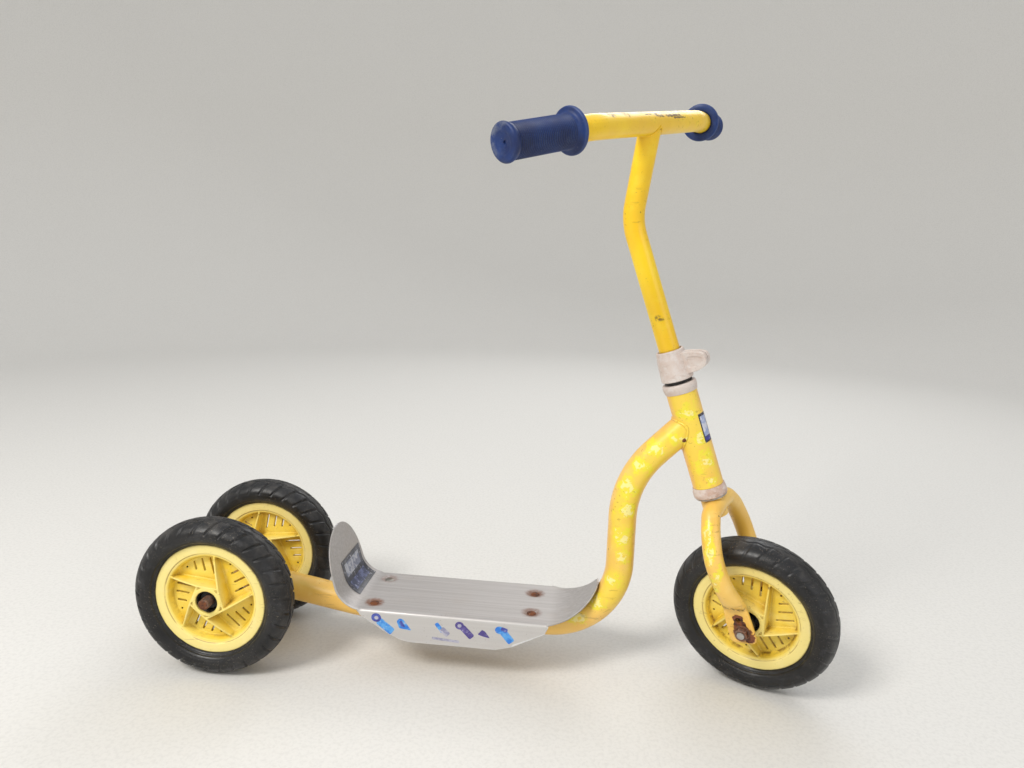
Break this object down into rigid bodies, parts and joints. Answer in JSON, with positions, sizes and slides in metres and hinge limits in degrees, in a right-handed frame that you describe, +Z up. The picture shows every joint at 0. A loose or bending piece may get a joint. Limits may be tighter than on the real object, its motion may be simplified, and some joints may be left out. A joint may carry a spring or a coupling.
{
  "type": "kick scooter",
  "caption": "Child's kick scooter with a folded metal deck, a heel stop, a pair of rear wheels, a raked fork with one front wheel, and a height-adjustable handlebar.",
  "frame": {"origin": "on the floor, on the centre plane, half way between the rear axle and the front axle with the wheel straight ahead", "axes": "+X forward, +Y to the rider's left, +Z up"},
  "size_m": [0.7712, 0.3809, 0.6478],
  "materials": {
    "yellow_paint": "weathered gloss",
    "deck_metal": "brushed, dusty",
    "rusty_steel": "rusted",
    "zinc_steel": "dull zinc",
    "pale_plastic": "sun-bleached, dusty",
    "black_plastic": "matte",
    "blue_grip": "satin, dusty",
    "tyre": "dusty",
    "rim_plastic": "satin, faded"
  },
  "bodies": {
    "frame": {"head_tube": "yellow_paint", "main_tube": "yellow_paint", "rear_axle_tube": "yellow_paint", "front_deck_bracket": "yellow_paint", "rear_deck_bracket": "yellow_paint", "deck_plate": "deck_metal", "deck_screws": "rusty_steel", "deck_nuts": "zinc_steel", "upper_bearing_cup": "pale_plastic", "lower_bearing_cup": "pale_plastic", "rear_axle": "rusty_steel", "rear_push_nuts": "rusty_steel", "rear_washers": "zinc_steel"},
    "steering": {"steerer_tube": "yellow_paint", "fork_leg_right": "yellow_paint", "fork_leg_left": "yellow_paint", "fork_race": "zinc_steel", "seal_ring": "black_plastic", "front_axle": "rusty_steel", "front_axle_nuts": "rusty_steel", "front_spacers": "black_plastic", "clamp_collar": "pale_plastic", "clamp_bolt": "zinc_steel"},
    "handlebar": {"handlebar_stem": "yellow_paint", "handlebar_crossbar": "yellow_paint", "grip_right": "blue_grip", "grip_left": "blue_grip"},
    "front_wheel": {"front_tyre": "tyre", "front_rim": "rim_plastic", "front_bush": "black_plastic"},
    "rear_wheel_right": {"rear_tyre_right": "tyre", "rear_rim_right": "rim_plastic", "rear_bush_right": "black_plastic"},
    "rear_wheel_left": {"rear_tyre_left": "tyre", "rear_rim_left": "rim_plastic", "rear_bush_left": "black_plastic"}
  },
  "joints": [
    {"name": "steer", "type": "hinge", "parent": "frame", "child": "steering", "pos_m": [0.22079, 0, 0.28508], "axis": [-0.3338, 0, 0.9426], "range_deg": [-62.4, 117.6]},
    {"name": "handlebar_height", "type": "slide", "parent": "steering", "child": "handlebar", "axis": [-0.3338, 0, 0.9426], "range_m": [-0.06, 0.06]},
    {"name": "front_wheel_spin", "type": "hinge", "parent": "steering", "child": "front_wheel", "pos_m": [0.29808, -0.00398, 0.08967], "axis": [0.4367, 0.8862, 0.1547], "continuous": true},
    {"name": "rear_wheel_right_spin", "type": "hinge", "parent": "frame", "child": "rear_wheel_right", "pos_m": [-0.299, -0.067, 0.09], "axis": [0, 1, 0], "continuous": true},
    {"name": "rear_wheel_left_spin", "type": "hinge", "parent": "frame", "child": "rear_wheel_left", "pos_m": [-0.299, 0.067, 0.09], "axis": [0, 1, 0], "continuous": true}
  ]
}
